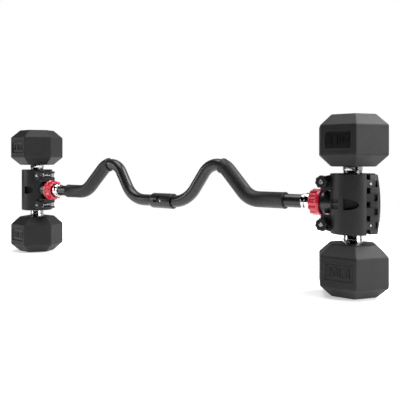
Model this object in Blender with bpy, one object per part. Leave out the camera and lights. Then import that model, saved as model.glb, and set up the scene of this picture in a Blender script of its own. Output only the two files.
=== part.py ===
"""Two hexagonal dumbbells joined by an M-shaped curl bar into one barbell.

A hinged clamp grips the handle of each dumbbell. The clamps swivel on the ends of a bar that
comes apart at the middle. Metres, +Z up, +X along the bar to the right, the knobs face -Y,
and the origin lies under the middle of the bar on the surface that the dumbbells stand on.
"""

import math

import bmesh
import bpy
from mathutils import Matrix, Vector

MM = 0.001
GAP = 0.3 * MM                # clearance between touching pieces

# Dumbbell
HALF_SPAN = 383 * MM          # bar centre to the axis of either handle
DUMBBELL_LENGTH = 275 * MM
HEAD_LENGTH = 79 * MM
HEAD_FLATS = 100 * MM         # across flats at the shoulders
END_FLATS = 65 * MM           # across flats at a head's end faces
SHOULDER = 17 * MM            # length of each chamfer
RUBBER = 5 * MM               # thickness of the rubber coat
HEAD_TURNS = {"left": math.radians(-5.8), "right": math.radians(-2.5)}  # front flats, off -Y
HANDLE_R = 14 * MM
HANDLE_END_R = 12 * MM
HANDLE_SEAT = 42 * MM         # depth of each handle end in its core
FLANGE_R = 14.8 * MM
FLANGE_LENGTH = 6 * MM

# Clamp, in its own frame: x away from the bar, z from the bar's axis
BAR_Z = 139.5 * MM
SHELL_R = 34 * MM
SHELL_HALF = 46 * MM
SHELL_EDGE = 1.2 * MM
BORE_R = 17 * MM
LINER_HALF = 41 * MM
HINGE_X = 34.8 * MM
KNUCKLE_R = 8.3 * MM
KNUCKLE_CROWN = 4.0 * MM      # how much slimmer the outermost knuckles are
KNUCKLE_PITCH = 20.7 * MM
DOOR_KNUCKLE = 12 * MM        # height of one of the door's four knuckles
HINGE_HALF = 44.5 * MM
BLOCK_TURN = math.radians(31)  # where the hinge block leaves the shell's round
HOLLOW = ((23.4 * MM, 12.7 * MM), (21.3 * MM, 6 * MM), (20.6 * MM, 0))  # clear of the noses
WEB_X = 19.5 * MM
WEB_FOOT = 27.6 * MM
WEB_TOP = 16 * MM
NOSE_REACH = 0.66             # how far a knuckle's nose runs along the block's face
NOSE_THICK = 4.5 * MM
HINGE_PIN_R = 2.5 * MM
SET_SCREW_R = 1.6 * MM
SET_SCREW_LENGTH = 3.7 * MM
SET_SCREW_PROUD = 0.3 * MM
SET_SCREW_AT = 0.42           # share of the block's face, from the shell to the knuckle
SLIT = (6 * MM, 9.6 * MM)     # the pocket in the face of each of the door's knuckles
SLIT_AT = 0.894
SLIT_FLOOR = 0.8 * MM         # left between a slit and the pin's hole
RECESS_TURN = math.radians(19)
RECESS_LENGTH = 23 * MM
RECESS_HALF = 8.5 * MM
RECESS_DEPTH = 5 * MM
WINDOW_TURN = math.radians(-30)
WINDOW_WIDTH = 17 * MM
WINDOW_DEPTH = 2.5 * MM
WINDOWS = ((-7.5 * MM, -1.8 * MM), (1.8 * MM, 7.5 * MM))
EAR_X = -38.6 * MM            # the swing bolts' plane
EAR_END = 6.8 * MM            # ear beyond that plane, towards the bar
EAR_LOW = 19.2 * MM
EAR_HIGH = 44.2 * MM
EAR_SLOPE = 3.5 * MM          # fall of an ear's outer side towards the bar
EAR_FRONT = 18 * MM
EAR_BACK = 15.6 * MM
EAR_ROOT = -24.5 * MM         # where the ears meet the shell
EAR_CORNER = 2 * MM
BOLT_Z = 32.8 * MM
PIVOT_Y = 9 * MM
PIVOT_R = 3 * MM
PIVOT_TOP = 42.4 * MM
EYE_R = 6.3 * MM
EYE_HALF = 4.1 * MM
SHANK_R = 3.6 * MM
SLOT_HALF = 4.4 * MM
WASHER_R = 8.6 * MM
WASHER_THICK = 1.5 * MM
KNOB_R = 10.2 * MM
KNOB_LOBE = 1.0 * MM
KNOB_LOBES = 8
KNOB_THICK = 10.5 * MM
STUD_TIP = 1.6 * MM           # bolt showing past its knob

# Swivel joint between clamp and bar
SOCKET_R = 17.8 * MM
SOCKET_BORE = 11.5 * MM
SOCKET_IN = -23 * MM
SOCKET_OUT = -58 * MM
LUG_FROM = -47 * MM           # the raised lug on top of the socket
LUG_TO = -40 * MM
LUG_HALF = 3 * MM
LUG_RISE = 1.0 * MM
COLLAR_IN = -48 * MM
COLLAR_OUT = -67 * MM
COLLAR_R = 21.8 * MM
COLLAR_STEP = 5 * MM          # length of the collar's smooth rim
COLLAR_NOTCHES = 12
NECK_R = 14.1 * MM
NECK_OUT = -78.5 * MM
RING_OUT = -83.5 * MM
RING_R = 13 * MM

# Bar, as distance from its centre and height over its ends
TUBE_R = 11.1 * MM
TUBE_WALL = 2 * MM
TUBE_END = HALF_SPAN - 27 * MM
BAR_MIDDLE = -11 * MM
BAR_PEAK = 78.5 * MM
CENTRE_RUN = 69 * MM
PEAK_AT = 129.5 * MM
OUTER_RUN = 206 * MM
CENTRE_BEND = 57 * MM
PEAK_BEND = 34.5 * MM
OUTER_BEND = 44 * MM
M_CENTRE = -10 * MM           # middle of the M, beside the coupling's
BAR_LEAN = math.radians(-4.4)  # the M leans towards +Y
GRIP_R = 14 * MM
GRIPS = {"left": (150 * MM, 274 * MM), "right": (134 * MM, 267 * MM)}
JOINT_AT = -3 * MM            # where the two tubes meet inside the coupling
COUPLING_R = 14.5 * MM
COUPLING_HALF = 27 * MM
PIN_AT = 3.6 * MM
PIN_R = 2 * MM
PIN_TOP = 13.4 * MM
KEYWAY_R = 13.8 * MM
SLOT_BLIND = -12.5 * MM
LOCK_FROM = -5 * MM
LOCK_TO = -0.8 * MM
LOCK_RISE = 9 * MM

ROUND = 24                    # sides of a round piece
OVERSIZE = 2 * MM             # how far a solid runs past the face that trims it


def clear_scene():
    for item in list(bpy.data.objects):
        bpy.data.objects.remove(item, do_unlink=True)


def material(name, colour, roughness, metallic=0.0):
    made = bpy.data.materials.new(name)
    made.use_nodes = True
    shader = made.node_tree.nodes["Principled BSDF"]
    shader.inputs["Base Color"].default_value = (*colour, 1.0)
    shader.inputs["Roughness"].default_value = roughness
    shader.inputs["Metallic"].default_value = metallic
    return made


def finish_colours():
    return {
        "rubber": material("rubber", (0.035, 0.035, 0.038), 0.75),
        "iron": material("iron", (0.10, 0.10, 0.10), 0.6, 1.0),
        "chrome": material("chrome", (0.78, 0.78, 0.79), 0.12, 1.0),
        "steel": material("steel", (0.60, 0.60, 0.61), 0.3, 1.0),
        "nylon": material("nylon", (0.030, 0.031, 0.033), 0.5),
        "liner": material("liner", (0.02, 0.02, 0.02), 0.85),
        "red": material("red", (0.62, 0.02, 0.05), 0.3),
        "paint": material("paint", (0.028, 0.028, 0.030), 0.4),
        "grip": material("grip", (0.025, 0.025, 0.026), 0.8),
    }


# Outlines and solids -------------------------------------------------------------------

def arc(centre, radius, start, stop, steps):
    """Points along an arc in the XY plane, ends included, angles in degrees."""
    turns = [math.radians(start + (stop - start) * i / steps) for i in range(steps + 1)]
    return [(centre[0] + radius * math.cos(t), centre[1] + radius * math.sin(t)) for t in turns]


def circle(radius, sides=ROUND):
    """A closed outline, counter-clockwise."""
    turns = [2 * math.pi * i / sides for i in range(sides)]
    return [(radius * math.cos(t), radius * math.sin(t)) for t in turns]


def hexagon(flats):
    return circle(flats / math.sqrt(3), 6)


def scalloped(radius, depth, count, points_each=4):
    """A round outline with count shallow waves of the given depth."""
    turns = [2 * math.pi * i / (count * points_each) for i in range(count * points_each)]
    radii = [radius - depth * (0.5 - 0.5 * math.cos(count * t)) for t in turns]
    return [(r * math.cos(t), r * math.sin(t)) for r, t in zip(radii, turns)]


def loft(sections, closed=False):
    """A solid through outlines of equal length, as (height, outline), or a ring if closed."""
    bm = bmesh.new()
    loops = [[bm.verts.new((x, y, z)) for x, y in outline] for z, outline in sections]
    pairs = list(zip(loops, loops[1:]))
    if closed:
        pairs.append((loops[-1], loops[0]))
    for low, high in pairs:
        for i in range(len(low)):
            j = (i + 1) % len(low)
            bm.faces.new((low[i], low[j], high[j], high[i]))
    if not closed:
        bm.faces.new(list(reversed(loops[0])))
        bm.faces.new(loops[-1])
    bmesh.ops.recalc_face_normals(bm, faces=bm.faces)
    return bm


def prism(outline, low, high):
    return loft([(low, outline), (high, outline)])


def turned(profile, sides=ROUND):
    """A solid turned about Z through (radius, height) points, with flat ends."""
    return loft([(z, circle(r, sides)) for r, z in profile])


def turned_ring(profile, sides=ROUND):
    """A ring turned about Z from a closed profile of (radius, height) points."""
    return loft([(z, circle(r, sides)) for r, z in profile], closed=True)


def box(low, high):
    outline = [(low[0], low[1]), (high[0], low[1]), (high[0], high[1]), (low[0], high[1])]
    return prism(outline, low[2], high[2])


def along_x(bm):
    """Turns a solid made about Z so that its height runs along +X."""
    bmesh.ops.rotate(bm, verts=bm.verts, matrix=Matrix.Rotation(math.pi / 2, 3, "Y"))
    return bm


def along_front(bm):
    """Turns a solid made about Z so that its height runs along -Y."""
    bmesh.ops.rotate(bm, verts=bm.verts, matrix=Matrix.Rotation(math.pi / 2, 3, "X"))
    return bm


def moved(bm, x=0.0, y=0.0, z=0.0):
    bmesh.ops.translate(bm, verts=bm.verts, vec=(x, y, z))
    return bm


def place(name, bm, finish, origin=(0, 0, 0), smooth=30):
    """Makes the named object, with its own origin and its faces shaded smooth by angle."""
    bmesh.ops.translate(bm, verts=bm.verts, vec=-Vector(origin))
    mesh = bpy.data.meshes.new(name)
    bm.to_mesh(mesh)
    bm.free()
    mesh.shade_smooth()
    mesh.set_sharp_from_angle(angle=math.radians(smooth))
    item = bpy.data.objects.new(name, mesh)
    item.location = origin
    if finish:
        mesh.materials.append(finish)
    bpy.context.collection.objects.link(item)
    return item


def combine(item, tool_bm, operation):
    """Adds a Boolean with a hidden tool object."""
    tool = place(f"{item.name}_tool{len(item.modifiers)}", tool_bm, None)
    tool.hide_render = True
    tool.display_type = "WIRE"
    step = item.modifiers.new(operation.lower(), "BOOLEAN")
    step.object = tool
    step.operation = operation
    step.solver = "EXACT"
    return item


class Side:
    """One end of the bar: clamp pieces are drawn as at the right and mirrored for the left."""

    def __init__(self, name, sign):
        self.name = name
        self.sign = sign

    def world(self, bm):
        """Takes a solid from the clamp's frame to the world."""
        for vert in bm.verts:
            x, y, z = vert.co
            vert.co = (self.sign * (HALF_SPAN + x), y, BAR_Z + z)
        if self.sign < 0:
            bmesh.ops.reverse_faces(bm, faces=bm.faces)
        return bm

    def point(self, x, y, z):
        return (self.sign * (HALF_SPAN + x), y, BAR_Z + z)

    def add(self, name, bm, finish, origin=(0, 0, 0)):
        return place(f"{self.name}_{name}", self.world(bm), finish, self.point(*origin))

    def cut(self, item, bm):
        return combine(item, self.world(bm), "DIFFERENCE")

    def join(self, item, bm):
        return combine(item, self.world(bm), "UNION")


# Dumbbell ------------------------------------------------------------------------------

def head_sections(inset=0.0):
    """Heights from a head's outer end face, each with its hexagon."""
    lengths = (inset, SHOULDER, HEAD_LENGTH - SHOULDER, HEAD_LENGTH - inset)
    flats = (END_FLATS, HEAD_FLATS, HEAD_FLATS, END_FLATS)
    return [(z, hexagon(across - 2 * inset)) for z, across in zip(lengths, flats)]


def stand(side, bm, top):
    """Puts a head made from z = 0 upwards at the foot of the dumbbell, or upside down on top."""
    if top:
        bmesh.ops.rotate(bm, verts=bm.verts, matrix=Matrix.Rotation(math.pi, 3, "X"))
        moved(bm, z=DUMBBELL_LENGTH)
    turn = side.sign * HEAD_TURNS[side.name]
    bmesh.ops.rotate(bm, verts=bm.verts, matrix=Matrix.Rotation(turn, 3, "Z"))
    return moved(bm, z=-BAR_Z)


def dumbbell(side, finishes):
    for level, top in (("bottom", False), ("top", True)):
        coat = side.add(f"{level}_head_rubber", stand(side, loft(head_sections()), top),
                        finishes["rubber"])
        side.cut(coat, stand(side, loft(head_sections(RUBBER)), top))
        mouth = turned([(FLANGE_R + GAP, HEAD_LENGTH - 2 * RUBBER),
                        (FLANGE_R + GAP, HEAD_LENGTH + RUBBER)])
        side.cut(coat, stand(side, mouth, top))
        core = side.add(f"{level}_head_core", stand(side, loft(head_sections(RUBBER + GAP)), top),
                        finishes["iron"])
        socket = turned([(HANDLE_END_R + GAP, HEAD_LENGTH - HANDLE_SEAT - GAP),
                         (HANDLE_END_R + GAP, HEAD_LENGTH)])
        side.cut(core, stand(side, socket, top))
    middle = DUMBBELL_LENGTH / 2
    shoulder = middle - HEAD_LENGTH + RUBBER - GAP
    profile = [(HANDLE_END_R, shoulder + HANDLE_SEAT - RUBBER),
               (HANDLE_END_R, shoulder), (FLANGE_R, shoulder),
               (FLANGE_R, shoulder - RUBBER - FLANGE_LENGTH),
               (HANDLE_R, shoulder - RUBBER - FLANGE_LENGTH - 1.5 * MM)]
    profile += [(r, -z) for r, z in reversed(profile)]
    handle = moved(turned(profile), z=middle - BAR_Z)
    side.add("handle", handle, finishes["chrome"])


# Clamp shells --------------------------------------------------------------------------

def block_point(radius):
    """Where the hinge block leaves a round of that radius, on the y > 0 side."""
    return (radius * math.cos(BLOCK_TURN), radius * math.sin(BLOCK_TURN))


def half_shell_outline(front, radius):
    """Half of a round shell, a little past the parting plane, hollowed for the noses."""
    s = -1 if front else 1
    points = arc((0, 0), radius, 180 + math.degrees(math.asin(OVERSIZE / radius)),
                 math.degrees(BLOCK_TURN), 20)
    points += list(HOLLOW) + [(HOLLOW[-1][0], -OVERSIZE)]
    return [(x, s * y) for x, y in points]


def ear(front, sign):
    """One ear. The door's is rounded about the bolt's pivot, so the knob clears it."""
    end = EAR_X - EAR_END
    if front:
        reach = EAR_FRONT + PIVOT_Y
        tip = 270 - math.degrees(math.asin(EAR_END / reach))
        outline = [(EAR_ROOT, OVERSIZE), (EAR_ROOT, -EAR_FRONT)]
        outline += arc((EAR_X, PIVOT_Y), reach, 270, tip, 4) + [(end, OVERSIZE)]
    else:
        outline = [(EAR_ROOT, -OVERSIZE), (EAR_ROOT, EAR_BACK), (end + EAR_CORNER, EAR_BACK),
                   (end, EAR_BACK - EAR_CORNER), (end, -OVERSIZE)]
    bm = prism(outline, EAR_LOW, EAR_HIGH)
    for vert in bm.verts:
        x, y, z = vert.co
        if z > EAR_LOW + MM:
            z -= EAR_SLOPE * (EAR_ROOT - x) / (EAR_ROOT - end)
        vert.co = (x, y, sign * z)
    bmesh.ops.recalc_face_normals(bm, faces=bm.faces)
    return bm


def knuckle_radius(z):
    return KNUCKLE_R - KNUCKLE_CROWN * (z / HINGE_HALF) ** 2


def block_face(z):
    """The flat of the hinge block: touching point, its angle, and corner, where y > 0."""
    corner = Vector(block_point(SHELL_R))
    hinge = Vector((HINGE_X, 0))
    radius = knuckle_radius(z)
    away = corner - hinge
    turn = math.atan2(away.y, away.x) - math.acos(radius / away.length)
    return hinge + radius * Vector((math.cos(turn), math.sin(turn))), turn, corner


def knuckle_outline(z):
    """A knuckle of the fixed shell: web and face where y > 0, nose where y < 0."""
    touch, turn, corner = block_face(z)
    normal = Vector((math.cos(turn), -math.sin(turn)))
    below = Vector((touch.x, -touch.y))
    nose = below + (Vector((corner.x, -corner.y)) - below) * NOSE_REACH
    inside = nose - normal * NOSE_THICK
    round_part = arc((HINGE_X, 0), knuckle_radius(z), -math.degrees(turn), math.degrees(turn), 12)
    web = block_point(SHELL_R - GAP)
    return [(WEB_X, GAP), (WEB_FOOT, GAP), tuple(inside), tuple(nose)] + round_part + [
        web, (WEB_X, WEB_TOP)]


def knuckle(front, low, high):
    """One hinge knuckle with its web to the shell, slimmer towards the ends of the hinge."""
    s = -1 if front else 1
    return loft([(z, [(x, s * y) for x, y in knuckle_outline(z)]) for z in (low, high)])


def door_knuckles():
    """(low, high) of each of the door's four knuckles."""
    centres = [(i - 1.5) * KNUCKLE_PITCH for i in range(4)]
    return [(z - DOOR_KNUCKLE / 2, z + DOOR_KNUCKLE / 2) for z in centres]


def body_knuckles():
    """(low, high) of each of the fixed shell's five knuckles, in the door's gaps."""
    edges = [-HINGE_HALF]
    for low, high in door_knuckles():
        edges += [low - GAP, high + GAP]
    edges.append(HINGE_HALF)
    return list(zip(edges[::2], edges[1::2]))


def shell(side, name, front, finishes):
    """Either half of the clamp: a half shell, two forked ears and its knuckles."""
    sections = [(z, half_shell_outline(front, SHELL_R - inset))
                for z, inset in ((-SHELL_HALF, SHELL_EDGE), (SHELL_EDGE - SHELL_HALF, 0),
                                 (SHELL_HALF - SHELL_EDGE, 0), (SHELL_HALF, SHELL_EDGE))]
    item = side.add(name, loft(sections), finishes["nylon"], (HINGE_X, 0, 0))
    for sign in (-1, 1):
        side.join(item, ear(front, sign))
    side.cut(item, turned([(BORE_R, -SHELL_HALF - MM), (BORE_R, SHELL_HALF + MM)]))
    spare = (-GAP / 2, 2 * OVERSIZE) if front else (-2 * OVERSIZE, GAP / 2)
    side.cut(item, box((-2 * SHELL_R, spare[0], -2 * SHELL_HALF),
                       (HINGE_X, spare[1], 2 * SHELL_HALF)))
    for low, high in door_knuckles() if front else body_knuckles():
        side.join(item, knuckle(front, low, high))
    side.cut(item, moved(turned([(HINGE_PIN_R + GAP, -SHELL_HALF), (HINGE_PIN_R + GAP, SHELL_HALF)],
                                16), x=HINGE_X))
    side.cut(item, socket_seat())
    slot_end = EAR_X + (SLOT_HALF if front else EYE_R + GAP)
    for sign in (-1, 1):
        z = sign * BOLT_Z
        side.cut(item, box((EAR_X - 2 * EAR_END, -2 * EAR_FRONT, z - SLOT_HALF),
                           (slot_end, 2 * EAR_FRONT, z + SLOT_HALF)))
    return item


def socket_seat():
    radius = SOCKET_R + GAP
    return along_x(turned([(radius, -SHELL_R - 20 * MM), (radius, SOCKET_IN + GAP)]))


def door(side, finishes):
    item = shell(side, "front_shell", True, finishes)
    side.cut(item, pocket(recess_outline(side.sign), RECESS_DEPTH, side.sign * RECESS_TURN))
    for low, high in WINDOWS:
        outline = [(-WINDOW_WIDTH / 2, low), (WINDOW_WIDTH / 2, low),
                   (WINDOW_WIDTH / 2, high), (-WINDOW_WIDTH / 2, high)]
        side.cut(item, pocket(outline, WINDOW_DEPTH, WINDOW_TURN))
    for low, high in door_knuckles():
        z = (low + high) / 2
        floor = HINGE_PIN_R + GAP + SLIT_FLOOR - knuckle_radius(z)
        half_width, half_height = SLIT[0] / 2, SLIT[1] / 2
        slit = box((-half_width, -2 * KNUCKLE_R, -half_height), (half_width, -floor, half_height))
        side.cut(item, on_block(slit, z, SLIT_AT)[0])
    for sign in (-1, 1):
        hole = turned([(SET_SCREW_R + GAP, -SET_SCREW_LENGTH), (SET_SCREW_R + GAP, KNUCKLE_R)], 12)
        side.cut(item, on_block(along_front(hole), sign * 1.5 * KNUCKLE_PITCH, SET_SCREW_AT)[0])


def on_block(bm, z, share):
    """Puts a solid that faces -Y on the door's side of the block, and gives that place."""
    touch, turn, corner = block_face(z)
    bmesh.ops.rotate(bm, verts=bm.verts, matrix=Matrix.Rotation(math.pi / 2 - turn, 3, "Z"))
    spot = corner + (touch - corner) * share
    return moved(bm, spot.x, -spot.y, z), (spot.x, -spot.y, z)


def pocket(outline, depth, turn):
    """The cutter for a pocket in the door's face, turned that far round the handle's axis."""
    bm = moved(along_front(prism(outline, 0, SHELL_R)), y=depth - SHELL_R)
    bmesh.ops.rotate(bm, verts=bm.verts, matrix=Matrix.Rotation(turn, 3, "Z"))
    return bm


def recess_outline(point_to):
    """The thumb recess: square at one end and tapering to a round point."""
    steps = 8
    quarter = [math.pi / 2 * i / steps for i in range(steps + 1)]
    upper = [(RECESS_LENGTH * (math.sin(t) - 0.5), RECESS_HALF * math.cos(t)) for t in quarter]
    lower = [(x, -z) for x, z in reversed(upper[:-1])]
    return [(point_to * x, z) for x, z in upper + lower]


def body(side, finishes):
    item = shell(side, "rear_shell", False, finishes)
    for sign in (-1, 1):
        hole = [(PIVOT_R + GAP, EAR_LOW + 0.8 * MM), (PIVOT_R + GAP, SHELL_HALF + MM)]
        cutter = turned([(r, sign * z) for r, z in hole], 16)
        side.cut(item, moved(cutter, x=EAR_X, y=PIVOT_Y))


def liners(side, finishes):
    """Two half-round rubber pads between the shells and the handle."""
    for name, start in (("front_liner", 180), ("rear_liner", 0)):
        inner, outer = HANDLE_R + GAP, BORE_R - GAP
        lift = math.degrees(math.asin(GAP / inner))
        outline = arc((0, 0), outer, start + lift, start + 180 - lift, 16)
        outline += arc((0, 0), inner, start + 180 - lift, start + lift, 16)
        side.add(name, prism(outline, -LINER_HALF, LINER_HALF), finishes["liner"])


def hinge_hardware(side, finishes):
    pin = [(HINGE_PIN_R, -HINGE_HALF + 0.5 * MM), (HINGE_PIN_R, HINGE_HALF - 0.5 * MM)]
    side.add("hinge_pin", moved(turned(pin, 16), x=HINGE_X), finishes["steel"], (HINGE_X, 0, 0))
    for name, sign in (("lower", -1), ("upper", 1)):
        screw = turned([(SET_SCREW_R, SET_SCREW_PROUD - SET_SCREW_LENGTH),
                        (SET_SCREW_R, SET_SCREW_PROUD)], 12)
        screw, spot = on_block(along_front(screw), sign * 1.5 * KNUCKLE_PITCH, SET_SCREW_AT)
        side.add(f"{name}_hinge_screw", screw, finishes["steel"], spot)


# Swing bolts and knobs -----------------------------------------------------------------

def fasteners(side, finishes):
    """Each swing bolt turns on a pin in the rear ears and draws the door shut with a knob."""
    seat = EAR_FRONT + GAP
    for level, sign in (("lower", -1), ("upper", 1)):
        z = sign * BOLT_Z
        pivot = (EAR_X, PIVOT_Y, z)
        ends = sorted((sign * (EAR_LOW + 1.1 * MM), sign * PIVOT_TOP))
        pin = turned([(PIVOT_R, ends[0]), (PIVOT_R, ends[1])], 16)
        side.add(f"{level}_pivot_pin", moved(pin, x=EAR_X, y=PIVOT_Y), finishes["steel"], pivot)

        eye = turned([(EYE_R, -EYE_HALF), (EYE_R, EYE_HALF)], 24)
        bolt = side.add(f"{level}_swing_bolt", moved(eye, *pivot), finishes["chrome"], pivot)
        tip = seat + WASHER_THICK + GAP + KNOB_THICK + STUD_TIP
        shank = along_front(turned([(SHANK_R, -PIVOT_Y + PIVOT_R + 1.5 * MM),
                                    (SHANK_R, tip - MM), (SHANK_R - MM, tip)], 16))
        side.join(bolt, moved(shank, x=EAR_X, z=z))
        side.cut(bolt, moved(turned([(PIVOT_R + GAP, -2 * EYE_HALF), (PIVOT_R + GAP, 2 * EYE_HALF)],
                                    16), *pivot))

        hole = SHANK_R + GAP
        washer = turned_ring([(hole, seat), (WASHER_R, seat), (WASHER_R, seat + WASHER_THICK),
                              (hole, seat + WASHER_THICK)], 24)
        side.add(f"{level}_washer", moved(along_front(washer), x=EAR_X, z=z), finishes["steel"],
                 (EAR_X, -seat, z))
        knob = lobed_knob(hole, seat + WASHER_THICK + GAP)
        side.add(f"{level}_knob", moved(along_front(knob), x=EAR_X, z=z), finishes["nylon"],
                 (EAR_X, -seat, z))


def lobed_knob(hole, start):
    """A knob with eight lobes, chamfered at both ends and bored through."""
    full = scalloped(KNOB_R, KNOB_LOBE, KNOB_LOBES)
    small = scalloped(KNOB_R - MM, KNOB_LOBE, KNOB_LOBES)
    bore = circle(hole, len(full))
    end = start + KNOB_THICK
    sections = [(start, bore), (start, small), (start + MM, full), (end - MM, full), (end, small),
                (end, bore)]
    return loft(sections, closed=True)


# Swivel: socket, collar, neck ----------------------------------------------------------

def swivel(side, finishes):
    socket = along_x(turned_ring([(SOCKET_BORE, SOCKET_OUT), (SOCKET_R, SOCKET_OUT),
                                  (SOCKET_R, SOCKET_IN), (SOCKET_BORE, SOCKET_IN)]))
    axis = (COLLAR_IN, 0, 0)
    item = side.add("socket", socket, finishes["paint"], axis)
    side.join(item, box((LUG_FROM, -LUG_HALF, SOCKET_R - MM),
                        (LUG_TO, LUG_HALF, SOCKET_R + LUG_RISE)))

    side.add("collar", collar(), finishes["red"], axis)
    waist = NECK_R - 1.6 * MM
    neck = [(SOCKET_BORE, NECK_OUT), (waist, NECK_OUT), (NECK_R, NECK_OUT + 2.5 * MM),
            (NECK_R, NECK_OUT + 8 * MM), (waist + MM, NECK_OUT + 11 * MM),
            (waist + MM, SOCKET_OUT - GAP), (SOCKET_BORE, SOCKET_OUT - GAP)]
    side.add("neck", along_x(turned_ring(neck)), finishes["chrome"], axis)
    ring = [(SOCKET_BORE, RING_OUT), (RING_R - 0.6 * MM, RING_OUT), (RING_R, RING_OUT + 0.6 * MM),
            (RING_R, NECK_OUT - GAP), (SOCKET_BORE, NECK_OUT - GAP)]
    side.add("neck_ring", along_x(turned_ring(ring)), finishes["chrome"], axis)


def collar():
    """A threaded ring: waved for the fingers on the bar's side, with a smooth rim behind."""
    count = COLLAR_NOTCHES * 4
    waved = scalloped(COLLAR_R - 0.6 * MM, 1.5 * MM, COLLAR_NOTCHES)
    waved_end = scalloped(COLLAR_R - 2.2 * MM, 1.2 * MM, COLLAR_NOTCHES)
    rim = circle(COLLAR_R, count)
    rim_end = circle(COLLAR_R - MM, count)
    thread = circle(SOCKET_R + GAP, count)
    mouth = circle(NECK_R + GAP, count)
    step = COLLAR_IN - COLLAR_STEP
    shoulder = SOCKET_OUT - GAP
    sections = [(COLLAR_OUT, mouth), (COLLAR_OUT, waved_end), (COLLAR_OUT + 2 * MM, waved),
                (step - MM, waved), (step, rim), (COLLAR_IN - MM, rim), (COLLAR_IN, rim_end),
                (COLLAR_IN, thread), (shoulder, thread), (shoulder, mouth)]
    return along_x(loft(sections, closed=True))


# Bar -----------------------------------------------------------------------------------

def bend(before, corner, after, radius, steps):
    """Points round a corner of a path in the plane, along an arc of the given radius."""
    one = (Vector(before) - Vector(corner)).normalized()
    two = (Vector(after) - Vector(corner)).normalized()
    half = one.angle(two) / 2
    centre = Vector(corner) + (one + two).normalized() * radius / math.sin(half)
    start = Vector(corner) + one * radius / math.tan(half) - centre
    stop = Vector(corner) + two * radius / math.tan(half) - centre
    turn = math.atan2(start.x * stop.y - start.y * stop.x, start.dot(stop))
    points = []
    for i in range(steps + 1):
        a = turn * i / steps
        points.append((centre.x + start.x * math.cos(a) - start.y * math.sin(a),
                       centre.y + start.x * math.sin(a) + start.y * math.cos(a)))
    return points


def bar_route(side):
    """A half of the bar as (distance from its centre, height over its ends)."""
    shift = side.sign * M_CENTRE
    corners = [(0, BAR_MIDDLE), (CENTRE_RUN + shift, BAR_MIDDLE), (PEAK_AT + shift, BAR_PEAK),
               (OUTER_RUN + shift, 0), (TUBE_END, 0)]
    bends = ((CENTRE_BEND, 6), (PEAK_BEND, 9), (OUTER_BEND, 5))
    route = []
    for (radius, steps), i in zip(bends, range(1, 4)):
        route += bend(corners[i - 1], corners[i], corners[i + 1], radius, steps)
    return route


def clipped(route, start, stop):
    """The part of the route between two distances from the centre, with its ends added."""
    def height(s):
        for (a, p), (b, q) in zip(route, route[1:]):
            if a <= s <= b:
                return p + (q - p) * (s - a) / (b - a)
        return route[0][1] if s < route[0][0] else route[-1][1]
    inside = [point for point in route if start + MM < point[0] < stop - MM]
    return [(start, height(start))] + inside + [(stop, height(stop))]


def swept_tube(points, outer, inner, sides=12):
    """A tube along points, its rings square to the route."""
    bm = bmesh.new()
    points = [Vector(p) for p in points]
    across = Vector((0, -math.cos(BAR_LEAN), -math.sin(BAR_LEAN)))
    shells = []
    for radius in (outer, inner):
        rings = []
        for i, point in enumerate(points):
            before = (point - points[i - 1]).normalized() if i else None
            after = (points[i + 1] - point).normalized() if i < len(points) - 1 else None
            ahead = ((before or after) + (after or before)).normalized()
            widen = 1 / ahead.dot(after or before)
            up = ahead.cross(across).normalized()
            rings.append([bm.verts.new(point + radius * (math.cos(t) * across +
                                                         math.sin(t) * widen * up))
                          for t in [2 * math.pi * k / sides for k in range(sides)]])
        shells.append(rings)
    for rings in shells:
        for one, two in zip(rings, rings[1:]):
            for k in range(sides):
                bm.faces.new((one[k], one[(k + 1) % sides], two[(k + 1) % sides], two[k]))
    for end in (0, -1):
        one, two = shells[0][end], shells[1][end]
        for k in range(sides):
            bm.faces.new((one[k], one[(k + 1) % sides], two[(k + 1) % sides], two[k]))
    bmesh.ops.recalc_face_normals(bm, faces=bm.faces)
    return bm


def in_bar(sign, distance, height):
    """A point of the leaning M in the world."""
    return (sign * distance, -math.sin(BAR_LEAN) * height,
            BAR_Z + math.cos(BAR_LEAN) * height)


def bar_half(side, finishes):
    start = side.sign * JOINT_AT + (GAP if side.sign > 0 else 0)
    route = clipped(bar_route(side), start, TUBE_END)
    points = [in_bar(side.sign, s, e) for s, e in route]
    tube = swept_tube(points, TUBE_R, TUBE_R - TUBE_WALL)
    item = place(f"{side.name}_bar", tube, finishes["paint"])
    grip = [in_bar(side.sign, s, e) for s, e in clipped(bar_route(side), *GRIPS[side.name])]
    place(f"{side.name}_grip", swept_tube(grip, GRIP_R, TUBE_R + GAP), finishes["grip"])
    return item


def at_middle(bm):
    return moved(bm, y=-math.sin(BAR_LEAN) * BAR_MIDDLE, z=BAR_Z + math.cos(BAR_LEAN) * BAR_MIDDLE)


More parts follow.
